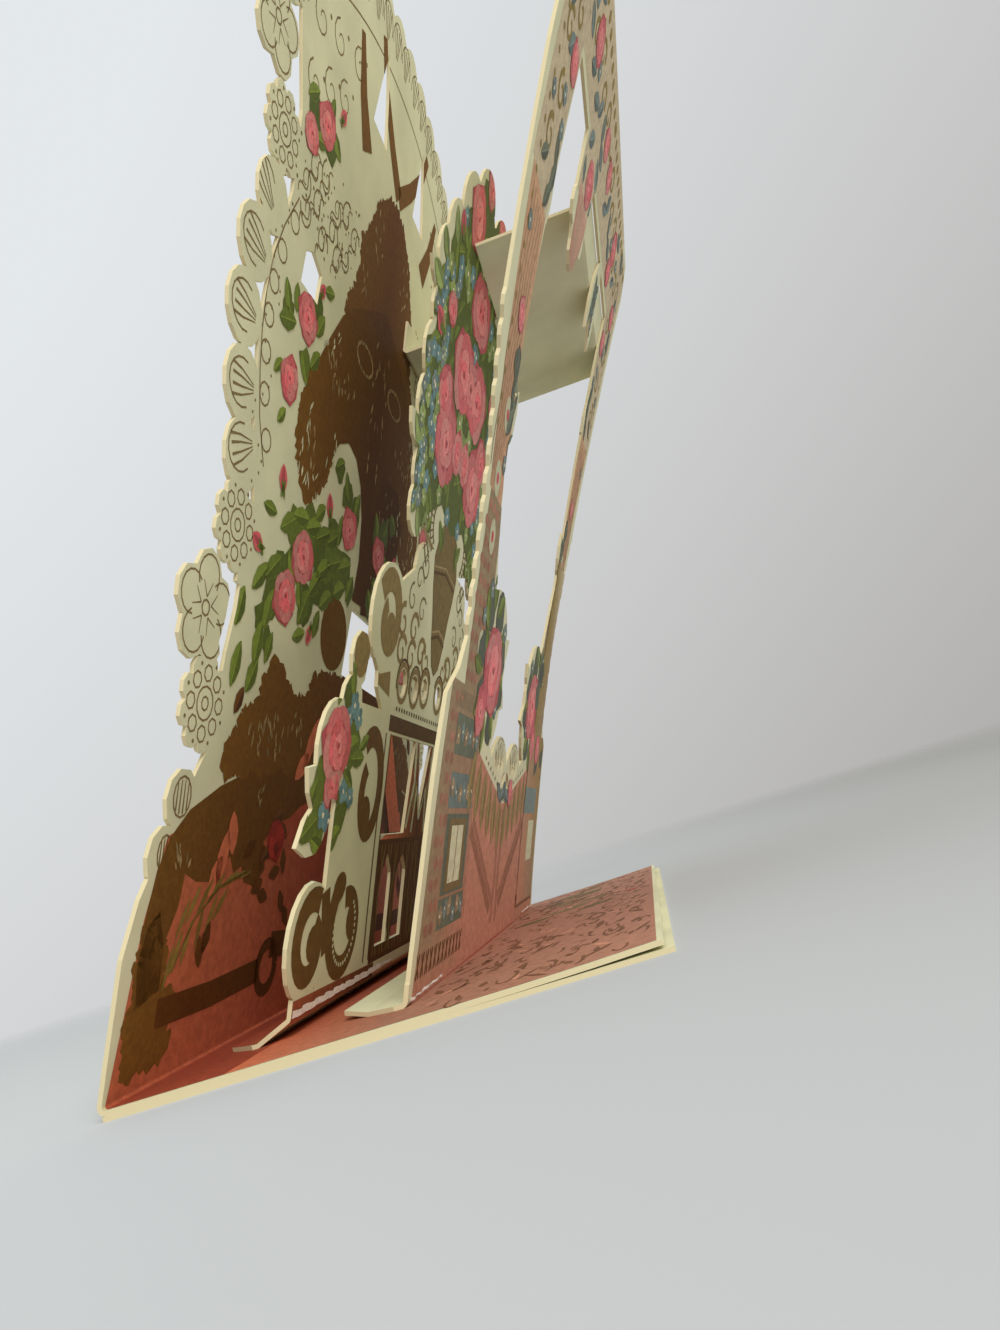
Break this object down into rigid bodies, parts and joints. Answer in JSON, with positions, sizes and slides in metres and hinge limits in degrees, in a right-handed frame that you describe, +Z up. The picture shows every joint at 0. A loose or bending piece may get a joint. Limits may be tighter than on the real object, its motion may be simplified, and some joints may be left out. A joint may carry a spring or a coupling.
{
  "type": "pop up card",
  "caption": "Stand-up lace card: a folded die-cut panel and base with a bowed scroll-work layer and a bowed arch standing in front of it, held by a level strap.",
  "frame": {"origin": "centre of the underside of the base", "axes": "+Z up, the card's front faces -Y, X across the card"},
  "size_m": [0.176, 0.1326, 0.2215],
  "materials": {
    "printed_card": "matt cream card with coloured and gold print",
    "plain_card": "matt cream card, unprinted"
  },
  "bodies": {
    "root": {"back_and_base": "printed_card", "base_backing": "plain_card", "middle_layer": "printed_card", "front_arch": "printed_card", "link_strap": "plain_card"}
  },
  "joints": []
}
